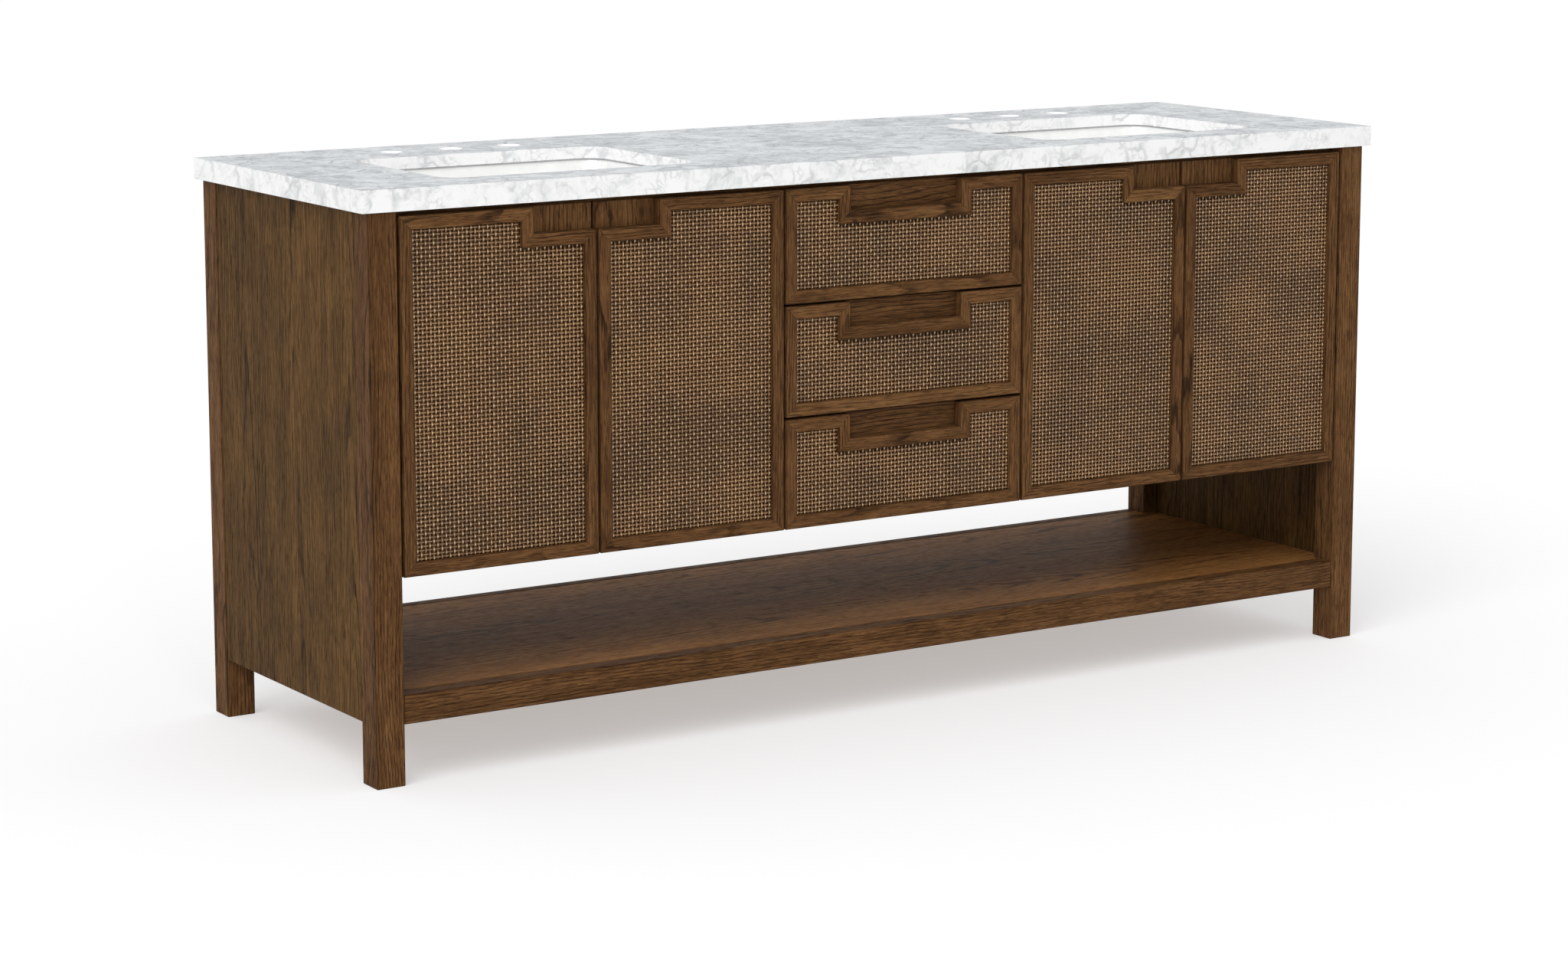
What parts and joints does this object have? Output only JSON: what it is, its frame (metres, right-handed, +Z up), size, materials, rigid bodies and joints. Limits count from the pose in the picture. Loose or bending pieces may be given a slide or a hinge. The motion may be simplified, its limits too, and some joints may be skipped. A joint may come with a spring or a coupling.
{
  "type": "bathroom vanity cabinet",
  "caption": "Freestanding bathroom vanity with stone top, undermounted sinks, notched cane-panelled doors and drawers, and an open shelf between square legs.",
  "frame": {"origin": "on the floor, under the middle of the stone top", "axes": "+X to the right along the cabinet's length, -Y out of the front where the doors and drawers open, +Z up"},
  "size_m": [1.829, 0.559, 0.851],
  "materials": {
    "stained_wood": "walnut-brown stained oak with a dark glaze in the grain and along the edges, satin lacquer",
    "interior_wood": "lighter brown stained boards inside the cabinet and drawers",
    "woven_cane": "plain-woven cane strands, tan with pale highlights, over a dark board",
    "marble": "white marble with soft grey veins, polished, eased edges",
    "porcelain": "glossy white vitreous china",
    "hinge_and_slide_steel": "nickel-plated concealed hinges and zinc-plated drawer slides"
  },
  "bodies": {
    "cabinet": {"countertop": "marble", "sink_left": "porcelain", "sink_right": "porcelain", "post_front_left": "stained_wood", "post_front_right": "stained_wood", "post_rear_left": "stained_wood", "post_rear_right": "stained_wood", "side_panel_left": "stained_wood", "side_panel_right": "stained_wood", "shelf_front_rail": "stained_wood", "shelf_rear_rail": "stained_wood", "lower_shelf": "stained_wood", "cabinet_floor": "stained_wood", "front_top_rail": "stained_wood", "rear_top_rail": "stained_wood", "partition_left": "interior_wood", "partition_right": "interior_wood", "back_panel": "interior_wood", "drawer_top_slide_left": "hinge_and_slide_steel", "drawer_top_slide_right": "hinge_and_slide_steel", "drawer_middle_slide_left": "hinge_and_slide_steel", "drawer_middle_slide_right": "hinge_and_slide_steel", "drawer_bottom_slide_left": "hinge_and_slide_steel", "drawer_bottom_slide_right": "hinge_and_slide_steel"},
    "door_1": {"door_1_frame": "stained_wood", "door_1_cane": "woven_cane", "door_1_backing": "stained_wood", "door_1_cup_lower": "hinge_and_slide_steel", "door_1_cup_upper": "hinge_and_slide_steel"},
    "door_2": {"door_2_frame": "stained_wood", "door_2_cane": "woven_cane", "door_2_backing": "stained_wood", "door_2_cup_lower": "hinge_and_slide_steel", "door_2_cup_upper": "hinge_and_slide_steel"},
    "door_3": {"door_3_frame": "stained_wood", "door_3_cane": "woven_cane", "door_3_backing": "stained_wood", "door_3_cup_lower": "hinge_and_slide_steel", "door_3_cup_upper": "hinge_and_slide_steel"},
    "door_4": {"door_4_frame": "stained_wood", "door_4_cane": "woven_cane", "door_4_backing": "stained_wood", "door_4_cup_lower": "hinge_and_slide_steel", "door_4_cup_upper": "hinge_and_slide_steel"},
    "drawer_top": {"drawer_top_frame": "stained_wood", "drawer_top_cane": "woven_cane", "drawer_top_backing": "stained_wood", "drawer_top_box": "interior_wood"},
    "drawer_middle": {"drawer_middle_frame": "stained_wood", "drawer_middle_cane": "woven_cane", "drawer_middle_backing": "stained_wood", "drawer_middle_box": "interior_wood"},
    "drawer_bottom": {"drawer_bottom_frame": "stained_wood", "drawer_bottom_cane": "woven_cane", "drawer_bottom_backing": "stained_wood", "drawer_bottom_box": "interior_wood"}
  },
  "joints": [
    {"name": "door_1_hinge", "type": "hinge", "parent": "cabinet", "child": "door_1", "pos_m": [-0.8545, -0.272, 0.556], "axis": [0, 0, -1], "range_deg": [0, 105]},
    {"name": "door_2_hinge", "type": "hinge", "parent": "cabinet", "child": "door_2", "pos_m": [-0.22, -0.272, 0.556], "axis": [0, 0, 1], "range_deg": [0, 90]},
    {"name": "door_3_hinge", "type": "hinge", "parent": "cabinet", "child": "door_3", "pos_m": [0.22, -0.272, 0.556], "axis": [0, 0, -1], "range_deg": [0, 90]},
    {"name": "door_4_hinge", "type": "hinge", "parent": "cabinet", "child": "door_4", "pos_m": [0.8545, -0.272, 0.556], "axis": [0, 0, 1], "range_deg": [0, 105]},
    {"name": "drawer_top_slide", "type": "slide", "parent": "cabinet", "child": "drawer_top", "axis": [0, -1, 0], "range_m": [0, 0.3]},
    {"name": "drawer_middle_slide", "type": "slide", "parent": "cabinet", "child": "drawer_middle", "axis": [0, -1, 0], "range_m": [0, 0.3]},
    {"name": "drawer_bottom_slide", "type": "slide", "parent": "cabinet", "child": "drawer_bottom", "axis": [0, -1, 0], "range_m": [0, 0.3]}
  ]
}
